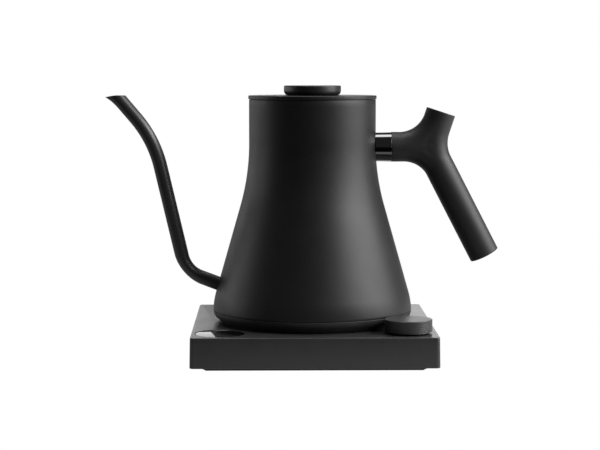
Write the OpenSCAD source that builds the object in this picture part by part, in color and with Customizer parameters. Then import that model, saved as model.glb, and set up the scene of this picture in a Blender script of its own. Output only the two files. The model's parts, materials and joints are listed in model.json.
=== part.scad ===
// Electric gooseneck kettle on a square cordless power base.
// The origin is the centre of the foot mat's underside, on the kettle's axis.
// +Z is up, -Y is the front with the display and the dial, the spout points to -X.

/* [Power base] */
// Side of the square housing
base_w = 170.6; // [168:0.1:174]
// Height of the housing
base_h = 21; // [21:0.5:23]
// Radius of the housing's upright corners
base_corner_r = 2.5; // [1.5:0.5:4]
// Side of the foot mat's underside
foot_w = 149; // [140:1:152]
// Height of the foot below the housing
foot_h = 3; // [2.8:0.1:3.4]
// Wall thickness of the housing
base_wall = 2.2; // [2:0.1:2.4]

/* [Controls] */
// Sideways distance of the display and the dial from the kettle's axis
control_x = 65; // [64:0.5:66]
// Distance of the display and the dial in front of the kettle's axis
control_y = 63; // [63:0.5:64]
// Radius of the display window
display_r = 17; // [16:0.5:17]
// Radius of the dial
dial_r = 16.4; // [15:0.1:16.5]
// Height of the dial
dial_h = 9.2; // [8:0.1:11]
// Gap between the dial and the base, which its press travel uses
dial_gap = 0.6; // [0.5:0.1:1]

/* [Kettle body] */
// Radius of the straight neck
neck_r = 45.5; // [45:0.1:46]
// Lean of the straight cone from vertical, in degrees
cone_lean = 15.9; // [15.5:0.1:16.2]
// Radius of the curve between the cone and the neck
waist_curve_r = 165; // [150:1:175]
// Height above the base where the neck becomes straight
neck_h = 128.8; // [126:0.2:130]
// Height above the base where the heel curve meets the cone
heel_h = 21; // [20:0.5:23]
// Radius of the heel curve above the crease
heel_curve_r = 52; // [48:1:58]
// Height above the base of the crease between the skirt and the vessel
crease_h = 8.6; // [8:0.1:9]
// Height above the base where the skirt's bevel ends and its upright band starts
bevel_h = 5.3; // [5:0.1:6]
// Height of the rim above the base
rim_h = 159.7; // [158:0.1:161]
// Thickness of the steel wall
wall = 1; // [0.8:0.1:1.2]

/* [Spout] */
// Outer diameter of the spout tube
spout_d = 10; // [9:0.1:10.5]
// Wall thickness of the spout tube
spout_wall = 0.8; // [0.6:0.1:1]
// Slope of the tube where it leaves the body, in degrees
spout_root_slope = 20.8; // [18:0.1:22]
// Radius of the lower bend's centre line
spout_low_r = 24.5; // [22:0.5:28]
// Radius of the upper bend's centre line
spout_high_r = 83.4; // [75:0.2:95]
// Lean of the spout's end from vertical, in degrees
spout_tip_lean = 40.3; // [38:0.1:42]
// Height of the mouth above the base
spout_tip_h = 162.6; // [161:0.1:163]

/* [Handle] */
// Height of the handle's arm above the base
arm_h = 125.7; // [125:0.1:127]
// Diameter of the arm
arm_d = 21.4; // [21:0.1:21.6]
// Diameter of the lower limb
limb_d = 21.6; // [21:0.1:22]
// Lean of the lower limb from vertical, in degrees
limb_lean = 27.4; // [25:0.1:29]
// Length of the lower limb, from the fork's centre to its end
limb_len = 89.3; // [84:0.1:90]
// Lean of the upper stub from vertical, in degrees
stub_lean = 18.3; // [17:0.1:20]
// Length of the upper stub, from the fork's centre to its end
stub_len = 26.6; // [26:0.1:28]
// Distance of the fork's centre from the kettle's axis
fork_x = 84.1; // [84:0.1:86]
// Radius of the bends that blend the arm, the stub and the limb
fork_r = 32; // [30:0.5:33]

/* [Lid] */
// Radius of the lid
lid_r = 46; // [45.6:0.1:46.5]
// Thickness of the lid's rim
lid_t = 2.6; // [2.2:0.1:3]
// Radius of the knob
knob_r = 20.5; // [19.5:0.1:21]
// Radius of the knob's foot
knob_foot_r = 17.1; // [16.5:0.1:18]
// Height of the knob
knob_h = 7.1; // [6.5:0.1:8]

/* [Hidden] */
$fn = 96;

eps = 0.01;
base_top = foot_h + base_h;
cavity_top = base_top - base_wall;
cavity_half = base_w / 2 - base_wall;
shell_black = "#26272a";
rubber_black = "#141414";
board_green = "#1f5a3a";
steel = "#b9bcc0";
brass = "#c9a24a";

// Screws: one shape, used at several sizes
module screw(r, length, head_r, head_h) {
    cylinder(r = r, h = length);
    translate([0, 0, -head_h]) cylinder(r = head_r, h = head_h);
}

// A bend in the XZ plane that starts at the origin along +Z and turns towards +X.
// The child is the cross-section.
module bend(centre_r, angle) {
    translate([centre_r, 0, 0]) rotate([90, 0, 0]) rotate([0, 0, 180 - angle])
        rotate_extrude(angle = angle, $fn = 72) translate([centre_r, 0]) children();
}

// A square with round corners, centred on the axis
module rounded_square(side, r) {
    for (turn = [0, 90]) rotate(turn) square([side, side - 2 * r], center = true);
    for (x = [-1, 1]) for (y = [-1, 1])
        translate([x * (side / 2 - r), y * (side / 2 - r)]) circle(r = r);
}

// A square block whose sides slope from a lower half width to an upper one
module sloped_block(low_half, high_half, height) {
    outline = [[-low_half, 0], [low_half, 0], [high_half, height], [-high_half, height]];
    intersection() {
        for_depth(high_half) polygon(outline);
        rotate(90) for_depth(high_half) polygon(outline);
    }
}

// Stands an outline up in the XZ plane and extrudes it both ways along Y
module for_depth(half) {
    rotate([90, 0, 0]) linear_extrude(height = 2 * half + 2, center = true) children();
}

// ---------------------------------------------------------------- power base

mat_t = 1.2;
mat_slope = 1.5;
plinth_half = foot_w / 2 + mat_slope + 0.5;
cover_t = 2;
cover_top = foot_h + cover_t;
cover_half = cavity_half - 0.3;
cover_screw_points = [[-76, 76], [76, 76], [-76, -30], [76, -30]];
boss_r = 3.6;
m3_r = 1.5;
m2_r = 1;

module foot_mat() color(rubber_black) {
    difference() {
        sloped_block(foot_w / 2, foot_w / 2 + mat_slope, mat_t);
        for (x = [-1, 1]) for (y = [-1, 1])
            translate([x * 40, y * 40, -eps]) cylinder(r = 9, h = 0.5);
    }
}

board_z = 8;
board_t = 1.6;
board_x = 55;
board_y = [31, 75];
board_points = [for (x = [-1, 1]) for (y = board_y) [x * (board_x - 4), y + (y < 50 ? 4 : -4)]];

module base_cover() color(shell_black) {
    difference() {
        union() {
            translate([-plinth_half, -plinth_half, mat_t])
                cube([2 * plinth_half, 2 * plinth_half, foot_h - mat_t]);
            translate([-cover_half, -cover_half, foot_h])
                cube([2 * cover_half, 2 * cover_half, cover_t]);
            for (p = board_points) translate([p[0], p[1], cover_top - eps])
                cylinder(r = boss_r, h = board_z - cover_top + eps);
            for (x = [-1, 1]) for (y = [-1, 1])
                translate([control_x + 12 * x, 12 * y - control_y, cover_top - eps])
                    cylinder(r = 2.5, h = encoder_z - board_t - cover_top + eps);
        }
        for (p = board_points) translate([p[0], p[1], mat_t + 1])
            cylinder(r = m2_r, h = board_z);
        for (p = cover_screw_points) translate([p[0], p[1], 0]) {
            cylinder(r = m3_r + 0.1, h = cover_top + 1);
            translate([0, 0, -eps]) cylinder(r = 3.2, h = foot_h + eps);
        }
    }
}

module cover_screws() color(steel) {
    for (p = cover_screw_points) translate([p[0], p[1], foot_h])
        screw(m3_r, 12, 2.9, 1.7);
}

display_at = [-control_x, -control_y];
dial_at = [control_x, -control_y];
lens_gap = 0.1;
lens_sink = 0.2;
lens_flange_r = display_r + 0.9;
window_chamfer = 0.5;
display_post = 14.2;
display_post_r = 1.6;
display_board_z = 15;
display_board_half = 16.8;
connector_r = 17;
connector_flange_z = 15.6;
connector_flange_t = 2;
connector_screw_ring = 27.5;
shaft_hole_r = 3.6;
gland_x = -45;
port_z = 13.5;
gland_r = 6;
gland_bore_r = 3.6;
gland_len = 7;
slot_w = 11;
slot_h = 4.4;
slot_x = 45;

module base_shell() {
    difference() {
        translate([0, 0, foot_h]) linear_extrude(height = base_h)
            rounded_square(base_w, base_corner_r);
        translate([0, 0, foot_h - 1]) linear_extrude(height = cavity_top - foot_h + 1)
            rounded_square(2 * cavity_half, 0.8);
    }
}

module base_housing() color(shell_black) {
    difference() {
        union() {
            base_shell();
            for (p = cover_screw_points) translate([p[0], p[1], cover_top])
                cylinder(r = boss_r, h = cavity_top - cover_top + eps);
            for (x = [-1, 1]) for (y = [-1, 1])
                translate([display_at[0] + x * display_post, display_at[1] + y * display_post,
                    display_board_z + board_t])
                    cylinder(r = display_post_r, h = cavity_top - display_board_z - board_t + eps);
            for (a = [30, 150, 270]) rotate(a)
                translate([connector_screw_ring, 0, connector_flange_z + connector_flange_t])
                    cylinder(r = 3, h = cavity_top - connector_flange_z - connector_flange_t + eps);
        }
        for (p = cover_screw_points) translate([p[0], p[1], 0])
            cylinder(r = m3_r, h = foot_h + 13);
        for (x = [-1, 1]) for (y = [-1, 1])
            translate([display_at[0] + x * display_post, display_at[1] + y * display_post, 0])
                cylinder(r = 0.8, h = cavity_top - 1);
        for (a = [30, 150, 270]) rotate(a) translate([connector_screw_ring, 0, 0])
            cylinder(r = 1.2, h = cavity_top - 0.4);
        translate([display_at[0], display_at[1], 0]) {
            cylinder(r = display_r + lens_gap, h = base_top + 1);
            translate([0, 0, base_top - window_chamfer])
                cylinder(r1 = display_r + lens_gap, r2 = display_r + lens_gap + 2 * window_chamfer,
                    h = 2 * window_chamfer);
        }
        translate([dial_at[0], dial_at[1], 0]) cylinder(r = shaft_hole_r, h = base_top + 1);
        cylinder(r = connector_r + 0.2, h = base_top + 1);
        translate([gland_x, base_w / 2 + 1, port_z]) rotate([90, 0, 0])
            cylinder(r = gland_r, h = base_wall + 2);
        translate([slot_x - slot_w / 2, cavity_half - 1, port_z - slot_h / 2])
            cube([slot_w, base_wall + 2, slot_h]);
    }
}

module display_lens() color("#0c0d10") {
    translate([display_at[0], display_at[1], 0]) {
        translate([0, 0, cavity_top - 1.6]) cylinder(r = lens_flange_r, h = 1.6);
        translate([0, 0, cavity_top - eps])
            cylinder(r = display_r, h = base_wall - lens_sink + eps);
    }
}

lcd_t = 3;

module lcd_module() color("#2c3438") {
    translate([display_at[0] - 11, display_at[1] - 9, display_board_z + board_t])
        cube([22, 18, lcd_t]);
}

module display_board() color(board_green) {
    difference() {
        translate([display_at[0] - display_board_half, display_at[1] - display_board_half,
            display_board_z])
            cube([2 * display_board_half, 2 * display_board_half, board_t]);
        for (x = [-1, 1]) for (y = [-1, 1])
            translate([display_at[0] + x * display_post, display_at[1] + y * display_post,
                display_board_z - 1])
                cylinder(r = m2_r, h = board_t + 2);
    }
}

module display_screws() color(steel) {
    for (x = [-1, 1]) for (y = [-1, 1])
        translate([display_at[0] + x * display_post, display_at[1] + y * display_post,
            display_board_z])
            screw(0.8, 5, 1.7, 1.2);
}

module main_board() color(board_green) {
    difference() {
        translate([-board_x, board_y[0], board_z])
            cube([2 * board_x, board_y[1] - board_y[0], board_t]);
        for (p = board_points) translate([p[0], p[1], board_z - 1])
            cylinder(r = m2_r + 0.1, h = board_t + 2);
    }
}

module board_screws() color(steel) {
    for (p = board_points) translate([p[0], p[1], board_z + board_t]) mirror([0, 0, 1])
        screw(m2_r, board_t + 4, 2, 1.4);
}

// A block that stands on the main board
module on_board(x, y, size) {
    translate([x, y, board_z + board_t]) cube(size);
}

module relay() color("#1b1c1f") on_board(10, 40, [19, 15.5, 10]);

module transformer() color("#8a7440") {
    on_board(-20, 40, [22, 20, 8]);
    translate([-9, 50, board_z + board_t + 8 - eps]) cylinder(r = 7, h = 2.4);
}

module terminal_block() color("#2e6b46") {
    difference() {
        on_board(-45, 55, [15, 9, 9]);
        for (x = [-41.5, -37.5, -33.5]) translate([x, 64.5, board_z + board_t + 4])
            rotate([90, 0, 0]) cylinder(r = 1.3, h = 6);
    }
}

module buzzer() color("#101012") {
    translate([42, 48, board_z + board_t]) difference() {
        cylinder(r = 6, h = 5);
        translate([0, 0, 4]) cylinder(r = 1.2, h = 2);
    }
}

encoder_z = 13.6;
encoder_top = 20.2;
encoder_bore_r = 3.05;
plunger_r = 3;
shaft_r = 1.5;
plunger_z = [15.6, 22.6];

module encoder_board() color(board_green) {
    translate([dial_at[0] - 16, dial_at[1] - 16, encoder_z - board_t]) cube([32, 32, board_t]);
}

module encoder_body() color("#3b3d42") {
    translate([dial_at[0], dial_at[1], 0]) difference() {
        union() {
            translate([-6.5, -6.5, encoder_z]) cube([13, 13, encoder_top - encoder_z]);
            translate([0, 0, encoder_top - eps])
                cylinder(r = shaft_hole_r - 0.1, h = base_top - encoder_top);
        }
        translate([0, 0, encoder_z + 1]) cylinder(r = encoder_bore_r, h = base_h);
    }
}

module encoder_plunger() color(steel) {
    translate([dial_at[0], dial_at[1], 0]) difference() {
        translate([0, 0, plunger_z[0]]) cylinder(r = plunger_r, h = plunger_z[1] - plunger_z[0]);
        translate([0, 0, plunger_z[0] + 1]) cylinder(r = shaft_r + 0.05, h = 10);
    }
}

dial_z = base_top + dial_gap;
dial_skin = 2.3;

module dial_shaft() color(steel) {
    translate([dial_at[0], dial_at[1], plunger_z[0] + 1.2])
        cylinder(r = shaft_r, h = dial_z + dial_h - dial_skin - plunger_z[0] - 1.2);
}

module dial() color(shell_black) {
    edge = 0.6;
    hub_r = 4;
    translate([dial_at[0], dial_at[1], dial_z]) rotate_extrude() {
        polygon([
            [dial_r - dial_skin, 0], [dial_r - 0.3, 0], [dial_r, 0.3],
            [dial_r, dial_h - edge], [dial_r - edge, dial_h], [0, dial_h],
            [0, dial_h - dial_skin], [dial_r - dial_skin, dial_h - dial_skin]
        ]);
        translate([shaft_r, 0]) square([hub_r - shaft_r, dial_h - dial_skin + eps]);
    }
}

connector_top = base_top + 9;
groove_z = base_top + 1;
outer_groove = [9.8, 13.2];
inner_groove = [4, 7.4];
contact_t = 1;

module tube(r_in, r_out, z_low, z_high) {
    translate([0, 0, z_low]) difference() {
        cylinder(r = r_out, h = z_high - z_low);
        translate([0, 0, -1]) cylinder(r = r_in, h = z_high - z_low + 2);
    }
}

module base_connector() color("#1c1d20") {
    difference() {
        union() {
            translate([0, 0, connector_flange_z])
                cylinder(r = connector_r, h = connector_top - connector_flange_z);
            translate([0, 0, connector_flange_z]) cylinder(r = 31, h = connector_flange_t);
        }
        tube(outer_groove[0], outer_groove[1], groove_z, connector_top + 1);
        tube(inner_groove[0], inner_groove[1], groove_z, connector_top + 1);
        for (a = [30, 150, 270]) rotate(a) translate([connector_screw_ring, 0, 0])
            cylinder(r = 1.3, h = base_top);
    }
}

module base_contacts() color(brass) {
    tube(outer_groove[1] - contact_t, outer_groove[1], groove_z, connector_top - 2);
    tube(inner_groove[1] - contact_t, inner_groove[1], groove_z, connector_top - 2);
}

module connector_screws() color(steel) {
    for (a = [30, 150, 270]) rotate(a)
        translate([connector_screw_ring, 0, connector_flange_z]) screw(1.2, 5.4, 2.4, 1.6);
}

slider_gap = 0.4;
slider_t = 1.2;
slider_y = cavity_half - slider_gap - slider_t;
nub_w = 5;
nub_x = slot_x - slot_w / 2 + 0.5;

module hold_switch_body() color("#303236") {
    body_t = 5;
    translate([slot_x - 10, slider_y - 0.2 - body_t, cover_top])
        cube([20, body_t, port_z + 5 - cover_top]);
}

module hold_slider() color(rubber_black) {
    translate([nub_x - 2.5, slider_y, port_z - 3.5]) cube([nub_w + 5, slider_t, 7]);
    difference() {
        translate([nub_x, slider_y + slider_t - eps, port_z - slot_h / 2 + 0.4])
            cube([nub_w, 2.2, slot_h - 0.8]);
        for (x = [1, 2.2, 3.4]) translate([nub_x + x, cavity_half + 1.5, port_z - slot_h])
            cube([0.6, 1, 2 * slot_h]);
    }
}

module cord_gland() color(rubber_black) {
    translate([gland_x, base_w / 2, port_z]) rotate([90, 0, 0]) difference() {
        union() {
            cylinder(r = gland_r, h = gland_len);
            translate([0, 0, base_wall]) cylinder(r = gland_r + 1.8, h = 2);
        }
        translate([0, 0, -1]) cylinder(r = gland_bore_r, h = gland_len + 2);
    }
}

// ---------------------------------------------------------- cordless coupling

lift_gap = 0.1;
socket_r = connector_r + 0.5;
socket_out_r = 22;
socket_z = [base_top + 1.4, base_top + 12.4];
socket_roof = connector_top + 0.6;

module kettle_connector() color("#1c1d20") {
    difference() {
        translate([0, 0, socket_z[0]]) cylinder(r = socket_out_r, h = socket_z[1] - socket_z[0]);
        translate([0, 0, socket_z[0] - 1]) cylinder(r = socket_r, h = socket_roof - socket_z[0] + 1);
    }
}

module kettle_contacts() color(brass) {
    tube(10.4, 11.6, base_top + 3, socket_roof);
    tube(4.7, 5.8, base_top + 3, socket_roof);
}

// --------------------------------------------------------------------- vessel

// Radius of the straight cone, carried on to any height above the base
cone_top_r = neck_r + waist_curve_r * (1 - cos(cone_lean));
cone_top_h = neck_h - waist_curve_r * sin(cone_lean);
function cone_r(h) = cone_top_r + (cone_top_h - h) * tan(cone_lean);
heel_centre = [
    cone_r(heel_h) - heel_curve_r * cos(cone_lean),
    heel_h - heel_curve_r * sin(cone_lean)
];
heel_low_angle = asin((crease_h - heel_centre[1]) / heel_curve_r);
heel_steps = 6;
waist_steps = 12;
vessel_profile = concat(
    [for (i = [0 : heel_steps])
        let (a = heel_low_angle + (cone_lean - heel_low_angle) * i / heel_steps)
        heel_centre + heel_curve_r * [cos(a), sin(a)]],
    [for (i = [0 : waist_steps])
        let (a = cone_lean * (1 - i / waist_steps))
        [neck_r + waist_curve_r * (1 - cos(a)), neck_h - waist_curve_r * sin(a)]],
    [[neck_r, rim_h]]
);

// The solid of revolution inside the vessel's outline, shrunk in radius
module vessel_solid(shrink) {
    last = len(vessel_profile) - 1;
    translate([0, 0, base_top]) rotate_extrude()
        polygon(concat(
            [[0, vessel_profile[0][1]]],
            [for (p = vessel_profile) [p[0] - shrink, p[1]]],
            [[0, vessel_profile[last][1]]]
        ));
}

// The inside of the vessel, open past both ends
module vessel_inside() {
    vessel_solid(wall);
    translate([0, 0, base_top + rim_h - 1]) cylinder(r = neck_r - wall, h = 3);
    translate([0, 0, base_top + crease_h - 2])
        cylinder(r = vessel_profile[0][0] - wall, h = 2 + eps);
}

module vessel_body() color(shell_black) {
    difference() {
        vessel_solid(0);
        vessel_inside();
        spout_root_rod(spout_d / 2);
    }
}

floor_z = base_top + 21;
floor_t = 1;
floor_gap = 0.05;
probe_ring = 57;
probe_r = 2.5;
seal_r = 4.2;

module vessel_floor() color(steel) {
    difference() {
        intersection() {
            translate([0, 0, floor_z]) cylinder(r = 80, h = floor_t);
            vessel_solid(wall + floor_gap);
        }
        translate([0, probe_ring, floor_z - 1]) cylinder(r = seal_r - 1, h = floor_t + 2);
    }
}

spreader_t = 2.5;
spreader_z = floor_z - spreader_t;
spreader_r = 52;
skirt_plate_z = base_top + 2.5;
skirt_plate_t = 2;
skirt_screw_ring = 36;

module heat_spreader() color("#9fa3a8") {
    difference() {
        union() {
            translate([0, 0, spreader_z]) cylinder(r = spreader_r, h = spreader_t);
            for (a = [0, 120, 240]) rotate(a)
                translate([skirt_screw_ring, 0, skirt_plate_z + skirt_plate_t])
                    cylinder(r = 3.6, h = spreader_z - skirt_plate_z - skirt_plate_t + eps);
        }
        for (a = [0, 120, 240]) rotate(a) translate([skirt_screw_ring, 0, 0])
            cylinder(r = m3_r, h = skirt_plate_z + 11);
    }
}

element_ring = 46.5;
element_r = 3.1;
element_angle = 320;

module heating_element() color("#6f7276") {
    element_z = spreader_z - element_r - 0.05;
    rotate(90 + (360 - element_angle) / 2) translate([0, 0, element_z])
        rotate_extrude(angle = element_angle) translate([element_ring, 0]) circle(r = element_r);
    for (side = [-1, 1]) rotate(90 + side * (360 - element_angle) / 2) {
        translate([element_ring, -side * 2, element_z - 6]) cylinder(r = 1.6, h = 8);
        translate([element_ring, side, element_z]) rotate([90 * side, 0, 0])
            cylinder(r = 2.2, h = 5);
    }
}

module thermal_cutout() color("#e6e2d6") {
    translate([0, 0, socket_z[1] + 0.6])
        cylinder(r = 15, h = spreader_z - socket_z[1] - 0.6);
    translate([-18, -3, socket_z[1] + 0.6]) cube([36, 6, 3]);
}

module temperature_probe() color(steel) {
    translate([0, probe_ring, floor_z - 12]) cylinder(r = probe_r, h = 20);
    translate([0, probe_ring, floor_z + 8]) sphere(r = probe_r);
}

module probe_seal() color("#a23a2a") {
    translate([0, probe_ring, 0]) {
        tube(probe_r, seal_r - 1, floor_z - 1, floor_z + floor_t + 1);
        tube(probe_r, seal_r, floor_z - 2, floor_z);
        tube(probe_r, seal_r, floor_z + floor_t, floor_z + floor_t + 1);
    }
}

ring_r = 65.9;
bevel_r = 71.4;
band_r = vessel_profile[0][0] - 0.06;
crease_gap = 0.15;
lip_out_r = 69;
lip_t = 1.8;
lip_rise = 3.6;

module skirt() color(shell_black) {
    rest_z = base_top + lift_gap;
    crease_z = base_top + crease_h - crease_gap;
    collar_r = socket_out_r + 0.4;
    plate_top = skirt_plate_z + skirt_plate_t;
    difference() {
        rotate_extrude() polygon([
            [collar_r, skirt_plate_z], [ring_r - 4.5, skirt_plate_z], [ring_r - 4.5, rest_z],
            [ring_r, rest_z], [bevel_r, base_top + bevel_h], [band_r, crease_z],
            [lip_out_r, crease_z], [lip_out_r, crease_z + lip_rise],
            [lip_out_r - lip_t, crease_z + lip_rise], [lip_out_r - lip_t, base_top + bevel_h + 0.6],
            [ring_r - 2, plate_top], [collar_r + 2, plate_top], [collar_r + 2, socket_z[1] - 1],
            [collar_r, socket_z[1] - 1]
        ]);
        for (a = [0, 120, 240]) rotate(a) translate([skirt_screw_ring, 0, base_top])
            cylinder(r = m3_r + 0.2, h = plate_top);
    }
}

module skirt_screws() color(steel) {
    for (a = [0, 120, 240]) rotate(a) translate([skirt_screw_ring, 0, skirt_plate_z])
        screw(m3_r, 10, 2.9, 1.6);
}

// ---------------------------------------------------------------------- spout

spout_low = [-91.5, 35.9];
spout_high = [-113.8, 131.2];
spout_rise = spout_high - spout_low;
spout_lean = atan(-spout_rise[0] / spout_rise[1]);
root_lean = 90 - spout_root_slope;
root_inset = 1.6;
bend_steps = 8;
ring_sides = 24;
lip_start = 9;
lip_reach = 1.5;

// Unit steps along a tube that leans from vertical towards -X, and across it
function heading(lean) = [-sin(lean), cos(lean)];
function across(lean) = [cos(lean), sin(lean)];

// Stations [x, height, lean] round a bend whose two straights would meet at a corner
function bend_stations(corner, from, to, r) =
    let (
        side = sign(to - from),
        start = corner - heading(from) * r * tan(abs(to - from) / 2)
    )
    [for (i = [0 : bend_steps])
        let (lean = from + (to - from) * i / bend_steps)
        let (at = start + side * r * (across(lean) - across(from)))
        [at[0], at[1], lean]];

// Where the spout's axis meets the vessel's wall, a little inside it
wall_hit_h = 27.3;
root_at = spout_low - heading(root_lean) * (spout_low[1] - wall_hit_h) / heading(root_lean)[1];
tip_at = spout_high
    + heading(spout_tip_lean) * (spout_tip_h - spout_high[1]) / heading(spout_tip_lean)[1];
lip_at = tip_at - heading(spout_tip_lean) * lip_start;
root_start = root_at - heading(root_lean) * (wall + root_inset);
spout_stations = concat(
    [[root_start[0], root_start[1], root_lean]],
    bend_stations(spout_low, root_lean, spout_lean, spout_low_r),
    bend_stations(spout_high, spout_lean, spout_tip_lean, spout_high_r),
    [[lip_at[0], lip_at[1], spout_tip_lean]]
);

// One ring of points round a station
function spout_ring(station, r) =
    [for (k = [0 : ring_sides - 1])
        let (
            a = 360 * k / ring_sides,
            at = [station[0], station[1]] + r * cos(a) * across(station[2])
        )
        [at[0], r * sin(a), base_top + at[1]]];

// The ring at the level mouth, drawn out into a pouring lip on the outer side
function mouth_ring(r) =
    [for (k = [0 : ring_sides - 1])
        let (
            a = 360 * k / ring_sides,
            side = tip_at + r * cos(a) * across(spout_tip_lean),
            run = (spout_tip_h - side[1]) / heading(spout_tip_lean)[1],
            at = side + run * heading(spout_tip_lean),
            lip = lip_reach * pow(max(0, -cos(a)), 3)
        )
        [at[0] - lip, r * sin(a), base_top + at[1]]];

function next_side(k) = (k + 1) % ring_sides;

function spout_skin(r) = concat(
    [for (station = spout_stations) each spout_ring(station, r)],
    mouth_ring(r)
);

// A straight rod along the spout's root, used to open the vessel's wall
module spout_root_rod(r) {
    translate([root_start[0], 0, base_top + root_start[1]]) rotate([0, -root_lean, 0])
        translate([0, 0, -5]) cylinder(r = r, h = 12);
}

module spout() color(shell_black) {
    rings = len(spout_stations) + 1;
    inner = rings * ring_sides;
    last = inner - ring_sides;
    side_faces = [for (i = [0 : rings - 2]) for (k = [0 : ring_sides - 1])
        let (a = i * ring_sides + k, b = i * ring_sides + next_side(k))
        each [
            [a, a + ring_sides, b], [b, a + ring_sides, b + ring_sides],
            [inner + a, inner + b, inner + a + ring_sides],
            [inner + b, inner + b + ring_sides, inner + a + ring_sides]
        ]];
    end_faces = [for (k = [0 : ring_sides - 1])
        each [
            [k, next_side(k), inner + k], [next_side(k), inner + next_side(k), inner + k],
            [last + k, inner + last + k, last + next_side(k)],
            [last + next_side(k), inner + last + k, inner + last + next_side(k)]
        ]];
    polyhedron(
        points = concat(spout_skin(spout_d / 2), spout_skin(spout_d / 2 - spout_wall)),
        faces = concat(side_faces, end_faces),
        convexity = 8
    );
}

// --------------------------------------------------------------------- handle

arm_z = base_top + arm_h;
grip_x = 57.1;
core_r = 4;
core_limb_r = 5.5;
core_gap = 0.1;
cap_r = 8;
cap_t = 1.4;
cap_sink = 0.5;
cap_gap = 0.05;
// The bends are a hair slimmer than the straight tubes, and the hub a hair fuller
bend_slim = 0.04;
hub_grow = 0.15;

// Places a child at the fork, with its +Z along the upper stub or down the limb
module at_stub() translate([fork_x, 0, arm_z]) rotate([0, stub_lean, 0]) children();
module at_limb() translate([fork_x, 0, arm_z]) rotate([0, 180 - limb_lean, 0]) children();

module handle_neck() color("#060607") {
    difference() {
        translate([neck_r - 3, 0, arm_z]) rotate([0, 90, 0])
            cylinder(r1 = arm_d / 2 - 0.3, r2 = arm_d / 2, h = grip_x - neck_r + 3);
        vessel_solid(0);
        translate([0, 0, arm_z]) rotate([0, 90, 0]) cylinder(r = core_r + core_gap, h = grip_x + 1);
    }
}

// The steel core: a rod in the arm and a heavier one down the limb
module core_shape(grow) {
    translate([neck_r + 1, 0, arm_z]) rotate([0, 90, 0])
        cylinder(r = core_r + grow, h = fork_x - neck_r - 1);
    translate([fork_x, 0, arm_z]) sphere(r = core_limb_r + grow);
    at_limb() cylinder(r = core_limb_r + grow, h = limb_len - 8 + grow);
}

screw_head_h = 10;
screw_r = 2;

module handle_core() color(steel) {
    difference() {
        core_shape(0);
        at_stub() cylinder(r = screw_r, h = screw_head_h);
    }
}

// A bend that joins two directions out of the fork, given by their angles from +X
module fork_bend(from, to) {
    turn = abs(to - from);
    reach = fork_r * tan((180 - turn) / 2);
    translate([fork_x, 0, arm_z]) rotate([0, -from, 0]) rotate([0, 90, 0])
        translate([0, 0, reach]) rotate([180, 0, 0]) rotate([0, 0, to > from ? 0 : 180])
        mirror([1, 0, 0]) bend(fork_r, 180 - turn) circle(r = arm_d / 2 - bend_slim);
}

module handle_grip() color("#1f1f21") {
    stub_angle = 90 - stub_lean;
    limb_angle = limb_lean - 90;
    $fn = 40;
    difference() {
        union() {
            translate([grip_x, 0, arm_z]) rotate([0, 90, 0])
                cylinder(r = arm_d / 2, h = fork_x - grip_x);
            translate([fork_x, 0, arm_z]) sphere(r = limb_d / 2 + hub_grow);
            at_stub() cylinder(r = arm_d / 2, h = stub_len);
            intersection() {
                at_limb() cylinder(r = limb_d / 2, h = limb_len);
                at_limb() translate([0, 0, limb_len - 45]) sphere(r = 45);
            }
            at_limb() cylinder(r = limb_d / 2, h = limb_len - 20);
            fork_bend(180, stub_angle);
            fork_bend(-180, limb_angle);
            fork_bend(limb_angle, stub_angle);
        }
        core_shape(core_gap);
        at_stub() {
            cylinder(r = screw_r + 0.2, h = stub_len);
            translate([0, 0, screw_head_h]) cylinder(r = 4, h = stub_len);
            translate([0, 0, stub_len - cap_sink - cap_t]) cylinder(r = cap_r + cap_gap, h = cap_t + 2);
        }
    }
}

module handle_cap() color("#0d0d0e") {
    at_stub() translate([0, 0, stub_len - cap_sink - cap_t]) cylinder(r = cap_r, h = cap_t);
}

module handle_screw() color(steel) {
    at_stub() {
        translate([0, 0, 1]) cylinder(r = screw_r, h = screw_head_h - 1);
        translate([0, 0, screw_head_h]) cylinder(r = 3.6, h = 3);
    }
}

// ------------------------------------------------------------------------ lid

lid_z = base_top + rim_h + 0.3;
liner_r = 42.6;
liner_t = 1.6;
liner_h = 10;
lid_screw_r = 2;

module lid_plate() color(shell_black) {
    edge = 0.4;
    translate([0, 0, lid_z]) rotate_extrude() polygon([
        [lid_screw_r + 0.1, 0], [lid_r - edge, 0], [lid_r, edge], [lid_r, lid_t - edge],
        [lid_r - edge, lid_t], [lid_screw_r + 0.1, lid_t]
    ]);
}

module lid_liner() color("#2b2b2d") {
    difference() {
        translate([0, 0, lid_z - liner_h]) cylinder(r = liner_r, h = liner_h);
        tube(5, liner_r - liner_t, lid_z - liner_h + liner_t, lid_z + 1);
        cylinder(r = lid_screw_r + 0.1, h = lid_z + 1);
    }
}

module lid_seal() color("#3a3a3c") {
    translate([0, 0, lid_z - 7]) rotate_extrude() polygon([
        [liner_r, 0], [liner_r + 1, 0], [neck_r - wall - 0.35, 2], [liner_r + 1, 4], [liner_r, 4]
    ]);
}

module lid_screw() color(steel) {
    translate([0, 0, lid_z - liner_h]) screw(lid_screw_r, liner_h + lid_t + 4, 4.2, 1.6);
}

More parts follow.
